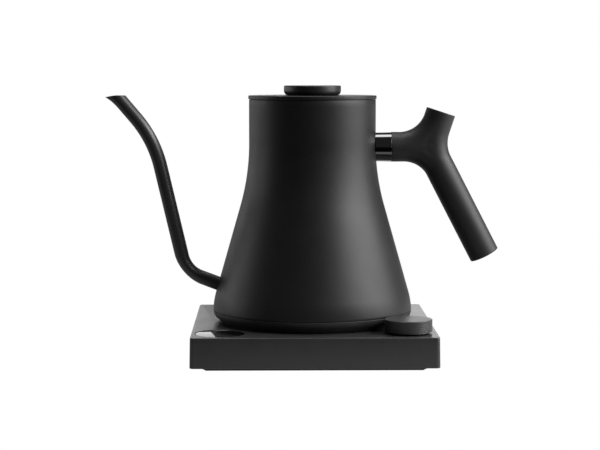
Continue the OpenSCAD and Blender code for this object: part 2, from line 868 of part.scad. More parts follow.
module lid_knob() color("#191919") {
    bowl_h = 3.4;
    bowl_steps = 6;
    edge_r = 0.9;
    edge_steps = 3;
    bowl = [for (i = [0 : bowl_steps]) let (a = 90 * i / bowl_steps)
        [knob_foot_r + (knob_r - knob_foot_r) * sin(a), bowl_h * (1 - cos(a))]];
    edge = [for (i = [0 : edge_steps]) let (a = 90 * i / edge_steps)
        [knob_r - edge_r * (1 - cos(a)), knob_h - edge_r * (1 - sin(a))]];
    translate([0, 0, lid_z + lid_t]) difference() {
        rotate_extrude() polygon(concat([[0, 0]], bowl, edge, [[0, knob_h]]));
        translate([0, 0, -1]) cylinder(r = lid_screw_r, h = 5.2);
    }
}

foot_mat();
base_cover();
cover_screws();
base_housing();
display_lens();
lcd_module();
display_board();
display_screws();
main_board();
board_screws();
relay();
transformer();
terminal_block();
buzzer();
encoder_board();
encoder_body();
base_connector();
base_contacts();
connector_screws();
hold_switch_body();
cord_gland();
hold_slider();
encoder_plunger();
dial_shaft();
dial();
kettle_connector();
kettle_contacts();
vessel_body();
spout();
vessel_floor();
heat_spreader();
heating_element();
thermal_cutout();
temperature_probe();
probe_seal();
skirt();
skirt_screws();
handle_neck();
handle_core();
handle_grip();
handle_cap();
handle_screw();
lid_seal();
lid_plate();
lid_liner();
lid_screw();
lid_knob();
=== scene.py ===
"""An electric gooseneck kettle on its power base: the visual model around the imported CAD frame."""
import json
import math

import bmesh
import bpy
import numpy as np
from mathutils import Matrix, Vector


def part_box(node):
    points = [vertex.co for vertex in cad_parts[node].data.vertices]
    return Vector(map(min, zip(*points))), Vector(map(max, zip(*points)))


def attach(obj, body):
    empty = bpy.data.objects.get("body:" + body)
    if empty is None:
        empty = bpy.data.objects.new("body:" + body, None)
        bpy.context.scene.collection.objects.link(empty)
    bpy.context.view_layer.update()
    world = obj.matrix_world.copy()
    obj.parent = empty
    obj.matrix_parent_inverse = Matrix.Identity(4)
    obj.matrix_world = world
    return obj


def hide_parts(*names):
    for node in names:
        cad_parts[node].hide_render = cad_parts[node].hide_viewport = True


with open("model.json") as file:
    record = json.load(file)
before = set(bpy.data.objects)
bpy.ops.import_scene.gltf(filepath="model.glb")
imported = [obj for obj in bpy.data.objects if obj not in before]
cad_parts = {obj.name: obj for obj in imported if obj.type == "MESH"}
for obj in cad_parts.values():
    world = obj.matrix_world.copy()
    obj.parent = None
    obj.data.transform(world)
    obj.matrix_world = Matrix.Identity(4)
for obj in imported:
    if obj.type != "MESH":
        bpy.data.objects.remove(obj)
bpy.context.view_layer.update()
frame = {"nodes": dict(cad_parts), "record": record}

MM = 0.001
TURN = 2 * math.pi

# ------------------------------------------------------------------ the frame

base_low, base_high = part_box("base_housing")
dial_low, dial_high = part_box("dial")
lens_low, lens_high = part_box("display_lens")
gland_low, gland_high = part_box("cord_gland")
vessel_low, vessel_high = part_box("vessel_body")
skirt_low, skirt_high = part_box("skirt")
grip_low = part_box("handle_grip")[0]
plate_low, plate_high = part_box("lid_plate")
knob_low, knob_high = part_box("lid_knob")


def seen_from_above(low, high):
    """The middle of a box as (x, y)."""
    return ((low.x + high.x) / 2, (low.y + high.y) / 2)


BASE_TOP = base_high.z
DIAL_AXIS = seen_from_above(dial_low, dial_high)
LENS_AXIS = seen_from_above(lens_low, lens_high)
GLAND_Z = (gland_low.z + gland_high.z) / 2


# --------------------------------------------------------------------- camera

CAMERA_AT = Vector((-28.7, -1239.7, 204.35)) * MM
CAMERA_PITCH = math.radians(5.12)
CAMERA_YAW = math.radians(0.915)
CAMERA_LENS = 103.43
SENSOR_WIDTH = 36
CLIP_START = 50 * MM


def make_camera():
    """A long lens 1.24 m in front of the kettle, looking slightly down."""
    data = bpy.data.cameras.new("camera")
    data.lens = CAMERA_LENS
    data.sensor_width = SENSOR_WIDTH
    data.clip_start = CLIP_START
    camera = bpy.data.objects.new("camera", data)
    camera.location = CAMERA_AT
    camera.rotation_euler = (math.pi / 2 - CAMERA_PITCH, 0, -CAMERA_YAW)
    bpy.context.scene.collection.objects.link(camera)
    bpy.context.scene.camera = camera


# ------------------------------------------------------------------ materials

NOISE_LOW, NOISE_HIGH = 0.3, 0.7


class Nodes:
    """A material's node tree with a Principled shader, and short calls to add to it."""

    def __init__(self, name):
        self.material = bpy.data.materials.new(name)
        self.material.use_nodes = True
        self.tree = self.material.node_tree
        self.shader = self.tree.nodes["Principled BSDF"]
        self.place = self.tree.nodes.new("ShaderNodeTexCoord").outputs["Object"]

    def set(self, **sockets):
        """Sets the shader's own sockets, with _ for a space in a name."""
        for name, value in sockets.items():
            self.shader.inputs[name.replace("_", " ")].default_value = value
        return self

    def add(self, kind):
        return self.tree.nodes.new(kind)

    def link(self, output, target):
        self.tree.links.new(output, target)

    def noise(self, grain, detail=2.0, stretch=(1, 1, 1)):
        """Noise whose features are about grain metres across."""
        mapping = self.add("ShaderNodeMapping")
        mapping.inputs["Scale"].default_value = stretch
        texture = self.add("ShaderNodeTexNoise")
        texture.inputs["Scale"].default_value = 1 / grain
        texture.inputs["Detail"].default_value = detail
        self.link(self.place, mapping.inputs["Vector"])
        self.link(mapping.outputs["Vector"], texture.inputs["Vector"])
        return texture.outputs["Fac"]

    def colour(self, value, low, high):
        """Base colour from low to high over the usual span of a noise."""
        ramp = self.add("ShaderNodeValToRGB")
        ramp.color_ramp.elements[0].position = NOISE_LOW
        ramp.color_ramp.elements[0].color = (*low, 1)
        ramp.color_ramp.elements[1].position = NOISE_HIGH
        ramp.color_ramp.elements[1].color = (*high, 1)
        self.link(value, ramp.inputs["Fac"])
        self.link(ramp.outputs["Color"], self.shader.inputs["Base Color"])

    def rough(self, value, low, high):
        """Roughness from low to high over the usual span of a noise."""
        spread = self.add("ShaderNodeMapRange")
        spread.inputs["From Min"].default_value = NOISE_LOW
        spread.inputs["From Max"].default_value = NOISE_HIGH
        spread.inputs["To Min"].default_value = low
        spread.inputs["To Max"].default_value = high
        self.link(value, spread.inputs["Value"])
        self.link(spread.outputs["Result"], self.shader.inputs["Roughness"])

    def bump(self, height, depth, strength=1.0, under=None):
        """Relief of a depth in metres, over another relief if one is given."""
        bump = self.add("ShaderNodeBump")
        bump.inputs["Strength"].default_value = strength
        bump.inputs["Distance"].default_value = depth
        self.link(height, bump.inputs["Height"])
        if under is not None:
            self.link(under, bump.inputs["Normal"])
        self.link(bump.outputs["Normal"], self.shader.inputs["Normal"])
        return bump.outputs["Normal"]


def grey(value):
    return (value, value, value)


def coated(name, tone, roughness, grain=0.9 * MM, depth=0.02 * MM):
    """A powder or soft-touch coat: near-black, with a fine orange-peel skin."""
    m = Nodes(name)
    cloud = m.noise(14 * MM, detail=3)
    m.colour(cloud, grey(tone * 0.94), grey(tone * 1.06))
    m.rough(cloud, roughness - 0.02, roughness + 0.02)
    coarse = m.bump(m.noise(grain * 3), depth * 1.5, 0.5)
    m.bump(m.noise(grain), depth, 1.0, under=coarse)
    return m.material


def moulded(name, tone, roughness, depth=0.015 * MM):
    """Moulded plastic with the fine grain of its tool."""
    m = Nodes(name)
    cloud = m.noise(22 * MM, detail=2)
    m.colour(cloud, grey(tone * 0.95), grey(tone * 1.05))
    m.rough(cloud, roughness - 0.025, roughness + 0.025)
    m.bump(m.noise(0.5 * MM, detail=4), depth)
    return m.material


def metal(name, colour, roughness, stretch=(1, 1, 1)):
    """Bare metal with brushed or cast texture."""
    m = Nodes(name).set(Metallic=1.0)
    streak = m.noise(0.4 * MM, detail=3, stretch=stretch)
    m.colour(streak, tuple(c * 0.9 for c in colour), colour)
    m.rough(streak, roughness - 0.05, roughness + 0.08)
    m.bump(streak, 0.01 * MM)
    return m.material


def glossy(name, tone, roughness, coat=1.0, coat_ior=1.5):
    """A smooth enamel, polished plastic or glass, with the faint waviness of its surface."""
    m = Nodes(name).set(Coat_Weight=coat, Coat_Roughness=0.02, Coat_IOR=coat_ior)
    cloud = m.noise(30 * MM)
    m.colour(cloud, grey(tone * 0.9), grey(tone * 1.1))
    m.rough(cloud, roughness, roughness + 0.02)
    m.bump(m.noise(40 * MM, detail=0), 0.01 * MM, 0.3)
    return m.material


def plain_part(name, colour, roughness):
    """An inner part, never seen from close: a coloured plastic with slight mottling."""
    m = Nodes(name)
    cloud = m.noise(6 * MM, detail=3)
    m.colour(cloud, tuple(c * 0.85 for c in colour), colour)
    m.rough(cloud, roughness - 0.05, roughness + 0.05)
    m.bump(m.noise(0.6 * MM), 0.02 * MM)
    return m.material


MATERIALS = {
    "kettle_coat": coated("kettle_coat", 0.009, 0.46, depth=0.03 * MM),
    "spout_coat": glossy("spout_coat", 0.034, 0.36, coat=0),
    "base_coat": coated("base_coat", 0.04, 0.3, grain=0.6 * MM, depth=0.008 * MM),
    "dial_coat": coated("dial_coat", 0.042, 0.38, grain=0.5 * MM, depth=0.008 * MM),
    "knob_coat": coated("knob_coat", 0.012, 0.4),
    "base_plastic": moulded("base_plastic", 0.01, 0.5),
    "skirt_plastic": moulded("skirt_plastic", 0.03, 0.5),
    "grip_plastic": moulded("grip_plastic", 0.02, 0.5, depth=0.025 * MM),
    "cap_plastic": moulded("cap_plastic", 0.006, 0.55),
    "neck_gloss": glossy("neck_gloss", 0.003, 0.05, coat_ior=1.9),
    "display_gloss": glossy("display_gloss", 0.003, 0.04, coat=0),
    "lcd_glass": glossy("lcd_glass", 0.04, 0.1),
    "slider_plastic": moulded("slider_plastic", 0.02, 0.5),
    "connector_plastic": moulded("connector_plastic", 0.02, 0.4),
    "part_plastic": moulded("part_plastic", 0.03, 0.45),
    "cutout_plastic": plain_part("cutout_plastic", (0.7, 0.66, 0.58), 0.5),
    "terminal_plastic": plain_part("terminal_plastic", (0.04, 0.22, 0.1), 0.4),
    "circuit_board": plain_part("circuit_board", (0.01, 0.1, 0.04), 0.3),
    "winding_tape": plain_part("winding_tape", (0.5, 0.36, 0.07), 0.4),
    "foot_rubber": moulded("foot_rubber", 0.008, 0.7),
    "silicone_red": plain_part("silicone_red", (0.4, 0.06, 0.04), 0.45),
    "silicone_grey": moulded("silicone_grey", 0.05, 0.5),
    "screw_steel": metal("screw_steel", (0.5, 0.51, 0.53), 0.35),
    "inner_steel": metal("inner_steel", (0.68, 0.68, 0.69), 0.36, stretch=(1, 1, 12)),
    "cast_aluminium": metal("cast_aluminium", (0.6, 0.6, 0.62), 0.5),
    "contact_brass": metal("contact_brass", (0.72, 0.5, 0.2), 0.25),
}


def dress_cad_nodes():
    """Every CAD node gets its slot's material; those that stay in view keep it."""
    for part in frame["record"]["subparts"]:
        node = frame["nodes"][part["node"]]
        node.data.materials.clear()
        node.data.materials.append(MATERIALS[part["material_slot"]])
        node.data.polygons.foreach_set("material_index", [0] * len(node.data.polygons))
        node.data.set_sharp_from_angle(angle=math.radians(SHARP_ANGLE))


# ------------------------------------------------------------------- geometry

SHARP_ANGLE = 35


def finish_piece(name, mesh, slot, body, replaces=(), sharp=SHARP_ANGLE):
    """Turns a mesh into a piece: smooth shaded, in its material, riding its body."""
    piece = bpy.data.objects.new(name, mesh)
    bpy.context.scene.collection.objects.link(piece)
    mesh.materials.clear()
    mesh.materials.append(MATERIALS[slot])
    mesh.polygons.foreach_set("use_smooth", [True] * len(mesh.polygons))
    mesh.set_sharp_from_angle(angle=math.radians(sharp))
    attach(piece, body)
    if replaces:
        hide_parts(*replaces)


def mesh_from(points, faces):
    """A checked mesh whose normals all face outwards."""
    mesh = bpy.data.meshes.new("mesh")
    mesh.from_pydata([tuple(p) for p in points], [], faces)
    mesh.validate()
    bm = bmesh.new()
    bm.from_mesh(mesh)
    bmesh.ops.recalc_face_normals(bm, faces=bm.faces)
    bm.to_mesh(mesh)
    bm.free()
    return mesh


def rounded(corners, steps=6):
    """An outline through corners (a, b, radius), with each corner of radius > 0 rounded by an arc."""
    outline = []
    count = len(corners)
    for i, (a, b, radius) in enumerate(corners):
        here = np.array((a, b), float)
        if radius <= 0:
            outline.append(here)
            continue
        before = np.array(corners[i - 1][:2], float) - here
        after = np.array(corners[(i + 1) % count][:2], float) - here
        before /= np.linalg.norm(before)
        after /= np.linalg.norm(after)
        half = math.acos(max(-1, min(1, before @ after))) / 2
        reach = radius / math.tan(half)
        middle = here + (before + after) / np.linalg.norm(before + after) * radius / math.sin(half)
        start, end = here + before * reach - middle, here + after * reach - middle
        sweep = math.pi - 2 * half
        for k in range(steps + 1):
            t = k / steps
            blend = (math.sin((1 - t) * sweep) * start + math.sin(t * sweep) * end)
            outline.append(middle + blend / math.sin(sweep))
    return outline


def lathe(outline, segments=192, centre=(0, 0)):
    """Revolves a closed outline of (radius, height) points about a vertical axis."""
    points, faces, rings = [], [], []
    for r, z in outline:
        if r == 0:
            rings.append([len(points)] * segments)
            points.append((centre[0], centre[1], z))
            continue
        rings.append(list(range(len(points), len(points) + segments)))
        for k in range(segments):
            a = TURN * k / segments
            points.append((centre[0] + r * math.cos(a), centre[1] + r * math.sin(a), z))
    for i, ring in enumerate(rings):
        other = rings[(i + 1) % len(rings)]
        if ring[0] == ring[1] and other[0] == other[1]:
            continue
        for k in range(segments):
            n = (k + 1) % segments
            face = []
            for v in (ring[k], ring[n], other[n], other[k]):
                if v not in face:
                    face.append(v)
            faces.append(face)
    return mesh_from(points, faces)


def sweep(stations, ring, closed_ends=True):
    """Skins the rings that ring(station) gives as lists of points, as (points, faces)."""
    rings = [ring(s) for s in stations]
    count = len(rings[0])
    points = [p for r in rings for p in r]
    faces = []
    for i in range(len(rings) - 1):
        for k in range(count):
            n = (k + 1) % count
            a, b = i * count, (i + 1) * count
            faces.append((a + k, a + n, b + n, b + k))
    if closed_ends:
        faces.append(tuple(range(count)))
        faces.append(tuple(range(len(points) - count, len(points))))
    return points, faces


def rolled_edge(side, top, radius, count):
    """A quarter round from an upright side over to a level top, as count points."""
    return [(side - radius * (1 - math.cos(a)), top - radius * (1 - math.sin(a)))
            for a in np.linspace(0, math.pi / 2, count)]


def arc(centre, radius, start, end, steps):
    """Points of an arc in the outline's plane, from one angle to another in degrees."""
    angles = [math.radians(start + (end - start) * i / steps) for i in range(steps + 1)]
    return [(centre[0] + radius * math.cos(a), centre[1] + radius * math.sin(a)) for a in angles]


# --------------------------------------------------------------------- vessel

NECK_R = 45.5 * MM
CONE_LEAN = math.radians(15.9)
WAIST_CURVE_R = 165 * MM
NECK_START = BASE_TOP + 128.8 * MM
HEEL_END = BASE_TOP + 21 * MM
HEEL_CURVE_R = 52 * MM
WALL = 1.0 * MM
CONE_TOP_R = NECK_R + WAIST_CURVE_R * (1 - math.cos(CONE_LEAN))
CONE_TOP = NECK_START - WAIST_CURVE_R * math.sin(CONE_LEAN)


def cone_r(z):
    """The cone's outer radius at a height."""
    return CONE_TOP_R + (CONE_TOP - z) * math.tan(CONE_LEAN)


def vessel_outline():
    """The outside of the vessel from the crease up to the rim, as (radius, height)."""
    heel = (cone_r(HEEL_END) - HEEL_CURVE_R * math.cos(CONE_LEAN),
            HEEL_END - HEEL_CURVE_R * math.sin(CONE_LEAN))
    low = math.degrees(math.asin((vessel_low.z - heel[1]) / HEEL_CURVE_R))
    lean = math.degrees(CONE_LEAN)
    outline = arc(heel, HEEL_CURVE_R, low, lean, 16)
    outline += [(cone_r(z), z) for z in np.linspace(HEEL_END, CONE_TOP, 14)[1:-1]]
    outline += [(NECK_R + WAIST_CURVE_R * (1 - math.cos(a)),
                 NECK_START - WAIST_CURVE_R * math.sin(a)) for a in np.linspace(CONE_LEAN, 0, 25)]
    outline += [(NECK_R, z) for z in np.linspace(NECK_START, vessel_high.z, 8)[1:]]
    return outline


def make_vessel():
    """The coated shell: its rolled lower edge, its wall and its rim."""
    outside = vessel_outline()
    edge = 0.4 * MM
    rim_ease = 0.1 * MM
    crease_ease = 0.12 * MM
    skin = WALL / 2
    bottom, top = outside[0], outside[-1]
    outer = [(bottom[0] - edge - rim_ease, bottom[1]),
             (bottom[0] - crease_ease, bottom[1] + crease_ease)]
    outer += [p for p in outside if bottom[1] + edge < p[1] < top[1] - edge]
    outer += [(top[0], top[1] - edge), (top[0] - rim_ease, top[1] - rim_ease),
              (top[0] - edge, top[1])]
    inner = [(r - skin, z) for r, z in reversed(outside)]
    finish_piece("vessel_shell", lathe(outer + inner, segments=256), "kettle_coat", "kettle",
                 ["vessel_body"])


def make_lining():
    """The bare steel inside of the vessel, a hair clear of the coated shell."""
    outside = vessel_outline()
    gap = 0.02 * MM
    below_rim = 0.1 * MM
    top = vessel_high.z - below_rim
    outer = [(r - WALL / 2 - gap, min(z, top)) for r, z in outside]
    inner = [(r - WALL, min(z, top)) for r, z in reversed(outside)]
    finish_piece("vessel_lining", lathe(outer + inner, segments=192), "inner_steel", "kettle")


def make_skirt():
    """The bevelled ring under the crease, with a plate that closes the kettle from below."""
    seam_gap = 0.3 * MM
    ring_r, ring_wall = 65.9 * MM, 4.5 * MM
    bevel_r, bevel_top, bevel_round = 71.45 * MM, BASE_TOP + 5.4 * MM, 6.5 * MM
    band_r, band_wall = vessel_outline()[0][0] - 0.05 * MM, 1.1 * MM
    lip_r, lip_wall, lip_rise = 69 * MM, 1.8 * MM, 3.5 * MM
    plate, plate_t = BASE_TOP + 2.5 * MM, 2 * MM
    collar_r, collar_wall = 22.4 * MM, 2 * MM
    low, high = skirt_low.z, vessel_low.z - seam_gap
    step_z = high - 0.5 * MM
    collar_top = skirt_high.z - 0.5 * MM
    outline = rounded([
        (collar_r, plate, 0),
        (ring_r - ring_wall, plate, 0.3 * MM),
        (ring_r - ring_wall, low, 0.4 * MM),
        (ring_r, low, 0.8 * MM),
        (bevel_r, bevel_top, bevel_round),
        (band_r, high, 0.3 * MM),
        (band_r - band_wall, high, 0),
        (band_r - band_wall, step_z, 0),
        (lip_r, step_z, 0),
        (lip_r, high + lip_rise, 0),
        (lip_r - lip_wall, high + lip_rise, 0),
        (lip_r - lip_wall, bevel_top, 0),
        (ring_r - 2 * MM, plate + plate_t, 0),
        (collar_r + collar_wall, plate + plate_t, 0),
        (collar_r + collar_wall, collar_top, 0),
        (collar_r, collar_top, 0.3 * MM),
    ], steps=4)
    finish_piece("bottom_skirt", lathe(outline, 256), "skirt_plastic", "kettle", ["skirt"])


# ---------------------------------------------------------------------- spout

SPOUT_R = 5.0 * MM
SPOUT_WALL = 0.8 * MM
# The corners, as (x, z), where the tube's straights would meet without their bends
SPOUT_LOW = Vector((-91.5 * MM, BASE_TOP + 35.9 * MM))
SPOUT_HIGH = Vector((-113.8 * MM, BASE_TOP + 131.2 * MM))
SPOUT_ROOT_LEAN = math.radians(90 - 20.8)
SPOUT_LEAN = math.atan2(SPOUT_LOW.x - SPOUT_HIGH.x, SPOUT_HIGH.y - SPOUT_LOW.y)
SPOUT_TIP_LEAN = math.radians(40.3)
SPOUT_LOW_BEND_R = 24.5 * MM
SPOUT_HIGH_BEND_R = 83.4 * MM
SPOUT_MOUTH = BASE_TOP + 162.6 * MM


def heading(lean):
    """The way a tube runs that leans over from upright, as (x, z)."""
    return Vector((-math.sin(lean), math.cos(lean)))


def across(lean):
    """The way square to heading(lean), towards the vessel."""
    return Vector((math.cos(lean), math.sin(lean)))


def bend(corner, start_lean, end_lean, radius, steps):
    """Stations (point, lean) round a bend whose two straights would meet at a corner."""
    side = 1 if end_lean > start_lean else -1
    start = corner - heading(start_lean) * radius * math.tan(abs(end_lean - start_lean) / 2)
    stations = []
    for i in range(steps + 1):
        lean = start_lean + (end_lean - start_lean) * i / steps
        stations.append((start + side * radius * (across(lean) - across(start_lean)), lean))
    return stations


def make_spout():
    """The bent tube, cut level at its mouth and drawn out there into a pouring lip."""
    sides = 64
    lip_run, lip_reach, lip_droop, lip_steps = 9 * MM, 1.5 * MM, 1.3 * MM, 12
    bend_flat = 0.1
    root_len, inside_len = 17.5 * MM, 9 * MM
    low_bend = bend(SPOUT_LOW, SPOUT_ROOT_LEAN, SPOUT_LEAN, SPOUT_LOW_BEND_R, 32)
    high_bend = bend(SPOUT_HIGH, SPOUT_LEAN, SPOUT_TIP_LEAN, SPOUT_HIGH_BEND_R, 40)
    root_way, tip_way = heading(SPOUT_ROOT_LEAN), heading(SPOUT_TIP_LEAN)
    root = low_bend[0][0] - root_way * root_len
    tip = SPOUT_HIGH + tip_way * (SPOUT_MOUTH - SPOUT_HIGH.y) / math.cos(SPOUT_TIP_LEAN)
    # Each station is (place, lean, share of the lip, flattening)
    stations = [(root, SPOUT_ROOT_LEAN, 0, 0), (root + root_way * inside_len, SPOUT_ROOT_LEAN, 0, 0)]
    for i, (at, lean) in enumerate(low_bend):
        stations.append((at, lean, 0, bend_flat * math.sin(math.pi * i / (len(low_bend) - 1))))
    stations += [(at, lean, 0, 0) for at, lean in high_bend]
    for i in range(lip_steps + 1):
        share = i / lip_steps
        stations.append((tip - tip_way * (lip_run * (1 - share)), SPOUT_TIP_LEAN, share, 0))

    def skin(radius):
        def ring(station):
            at, lean, lip, flat = station
            points = []
            for k in range(sides):
                a = TURN * k / sides
                # Near the mouth the rings lie over until the last one is level
                here = at + across(lean) * radius * (1 - flat) * math.cos(a)
                level = (at.y - here.y) / math.cos(lean)
                here = here + heading(lean) * level * lip
                outward = max(0, -math.cos(a))
                here.x -= lip_reach * outward ** 3 * lip ** 2
                here.y -= lip_droop * outward ** 2 * lip ** 3
                points.append((here.x, radius * math.sin(a), here.y))
            return points
        return sweep(stations, ring, closed_ends=False)

    outer, outer_faces = skin(SPOUT_R)
    inner, inner_faces = skin(SPOUT_R - SPOUT_WALL)
    shift = len(outer)
    faces = outer_faces + [tuple(v + shift for v in f) for f in inner_faces]
    last = len(outer) - sides
    for k in range(sides):
        n = (k + 1) % sides
        faces.append((k, n, shift + n, shift + k))
        faces.append((last + k, last + n, shift + last + n, shift + last + k))
    mesh = mesh_from(outer + inner, faces)
    finish_piece("spout_tube", mesh, "spout_coat", "kettle", ["spout"], sharp=50)


# --------------------------------------------------------------------- handle

ARM_Z = BASE_TOP + 125.7 * MM
ARM_R = 10.7 * MM
LIMB_R = 10.8 * MM
FORK = Vector((84.1 * MM, 0, ARM_Z))
ARM_BEND_R = 30 * MM
BACK_BEND_R = 32 * MM
STUB_LEN = 26.6 * MM
STUB_LEAN = math.radians(18.3)
LIMB_LEN = 89.3 * MM
LIMB_LEAN = math.radians(27.4)
STUB_WAY = Vector((math.sin(STUB_LEAN), 0, math.cos(STUB_LEAN)))
LIMB_WAY = Vector((math.sin(LIMB_LEAN), 0, -math.cos(LIMB_LEAN)))
ARM_WAY = Vector((-1, 0, 0))
NECK_END = grip_low.x - 0.5 * MM
ARM_LEN = FORK.x - NECK_END
CAP_R = 7.9 * MM


def tube_along(path, radius, sides):
    """A closed round tube along points that lie in the handle's plane."""
    def ring(i):
        back, on = path[max(i - 1, 0)], path[min(i + 1, len(path) - 1)]
        way = (on - back).normalized()
        out = Vector((-way.z, 0, way.x))
        return [path[i] + radius * (math.cos(TURN * k / sides) * out
                                    + Vector((0, math.sin(TURN * k / sides), 0)))
                for k in range(sides)]
    return sweep(range(len(path)), ring)


def fork_bend(way_a, way_b, radius):
    """Points of an arc that joins two directions out of the fork, tangent to both."""
    half = way_a.angle(way_b) / 2
    middle = FORK + (way_a + way_b).normalized() * radius / math.sin(half)
    reach = radius / math.tan(half)
    start = FORK + way_a * reach - middle
    end = FORK + way_b * reach - middle
    turn = math.pi - 2 * half
    return [middle + (math.sin((1 - t) * turn) * start + math.sin(t * turn) * end) / math.sin(turn)
            for t in np.linspace(0, 1, 25)]


SMOOTH_IN, SMOOTH_OUT = 0.6, -0.58


def smooth_near(mesh, centre, full, none, rounds):
    """Smoothing that keeps volume, in full up to one distance from a centre and none past another."""
    count = len(mesh.vertices)
    co = np.empty(count * 3)
    mesh.vertices.foreach_get("co", co)
    co = co.reshape(-1, 3)
    edges = np.empty(len(mesh.edges) * 2, int)
    mesh.edges.foreach_get("vertices", edges)
    a, b = edges.reshape(-1, 2).T
    links = np.bincount(a, minlength=count) + np.bincount(b, minlength=count)
    away = np.linalg.norm(co - np.array(centre), axis=1)
    weight = np.clip((none - away) / (none - full), 0, 1)[:, None]
    for i in range(rounds):
        total = np.zeros_like(co)
        np.add.at(total, a, co[b])
        np.add.at(total, b, co[a])
        step = SMOOTH_IN if i % 2 == 0 else SMOOTH_OUT
        co += weight * step * (total / links[:, None] - co)
    mesh.vertices.foreach_set("co", co.ravel())


def snap_round(mesh, way, radius, start, full):
    """Sets the skin of one straight tube out of the fork exactly on its radius, past a distance."""
    for vertex in mesh.vertices:
        out = vertex.co - FORK
        along = out.dot(way)
        foot = FORK + way * along
        aside = vertex.co - foot
        if along < start or not 0.6 * radius < aside.length < 1.3 * radius:
            continue
        weight = min(1, (along - start) / (full - start))
        exact = foot + aside.normalized() * radius
        vertex.co = vertex.co.lerp(exact, weight)


def remeshed(points, faces, voxel):
    """Joins overlapping closed solids into one skin."""
    mesh = mesh_from(points, faces)
    lump = bpy.data.objects.new("lump", mesh)
    bpy.context.scene.collection.objects.link(lump)
    modifier = lump.modifiers.new("join", "REMESH")
    modifier.mode = "VOXEL"
    modifier.voxel_size = voxel
    modifier.use_smooth_shade = True
    evaluated = lump.evaluated_get(bpy.context.evaluated_depsgraph_get())
    result = bpy.data.meshes.new_from_object(evaluated)
    bpy.data.objects.remove(lump)
    bpy.data.meshes.remove(mesh)
    return result


def carry_on(bm, way, start, radius, profile, sides=96):
    """Cuts one tube square at a distance from the fork, and carries it on to its end in clean rings.

    profile is a list of (distance from the fork, radius), and the last ring is filled in."""
    def on_this_tube(face):
        out = face.calc_center_median() - FORK
        along = out.dot(way)
        return along > start - 3 * MM and (out - way * along).length < 1.5 * radius

    near = [f for f in bm.faces if on_this_tube(f)]
    geometry = list({v for f in near for v in f.verts})
    geometry += list({e for f in near for e in f.edges}) + near
    cut = bmesh.ops.bisect_plane(bm, geom=geometry, plane_co=FORK + way * start, plane_no=way,
                                 clear_outer=True)
    loop = [e for e in cut["geom_cut"] if isinstance(e, bmesh.types.BMEdge)]
    for vertex in {v for e in loop for v in e.verts}:
        foot = FORK + way * (vertex.co - FORK).dot(way)
        vertex.co = foot + (vertex.co - foot).normalized() * radius
    out = Vector((-way.z, 0, way.x))
    spokes = [math.cos(a) * out + Vector((0, math.sin(a), 0))
              for a in np.linspace(0, TURN, sides, False)]
    rings = []
    for along, ring_r in profile:
        middle = FORK + way * float(along)
        ring = [bm.verts.new(middle + spoke * float(ring_r)) for spoke in spokes]
        if rings:
            for k in range(sides):
                n = (k + 1) % sides
                bm.faces.new((rings[-1][k], rings[-1][n], ring[n], ring[k]))
        rings.append(ring)
    first = [bm.edges.get((rings[0][k], rings[0][(k + 1) % sides]))
             or bm.edges.new((rings[0][k], rings[0][(k + 1) % sides])) for k in range(sides)]
    bmesh.ops.bridge_loops(bm, edges=loop + first)
    bm.faces.new(rings[-1])


def rounded_end(length, radius, edge, steps=5):
    """Rings (distance, radius) round the edge at a tube's end."""
    return [(along, r) for r, along in rolled_edge(radius, length, edge, steps)]


def out_of_fork(way, length, count):
    """Points along one straight, from just before the fork's middle."""
    return [FORK + way * float(d) for d in np.linspace(-2 * MM, length, count)]


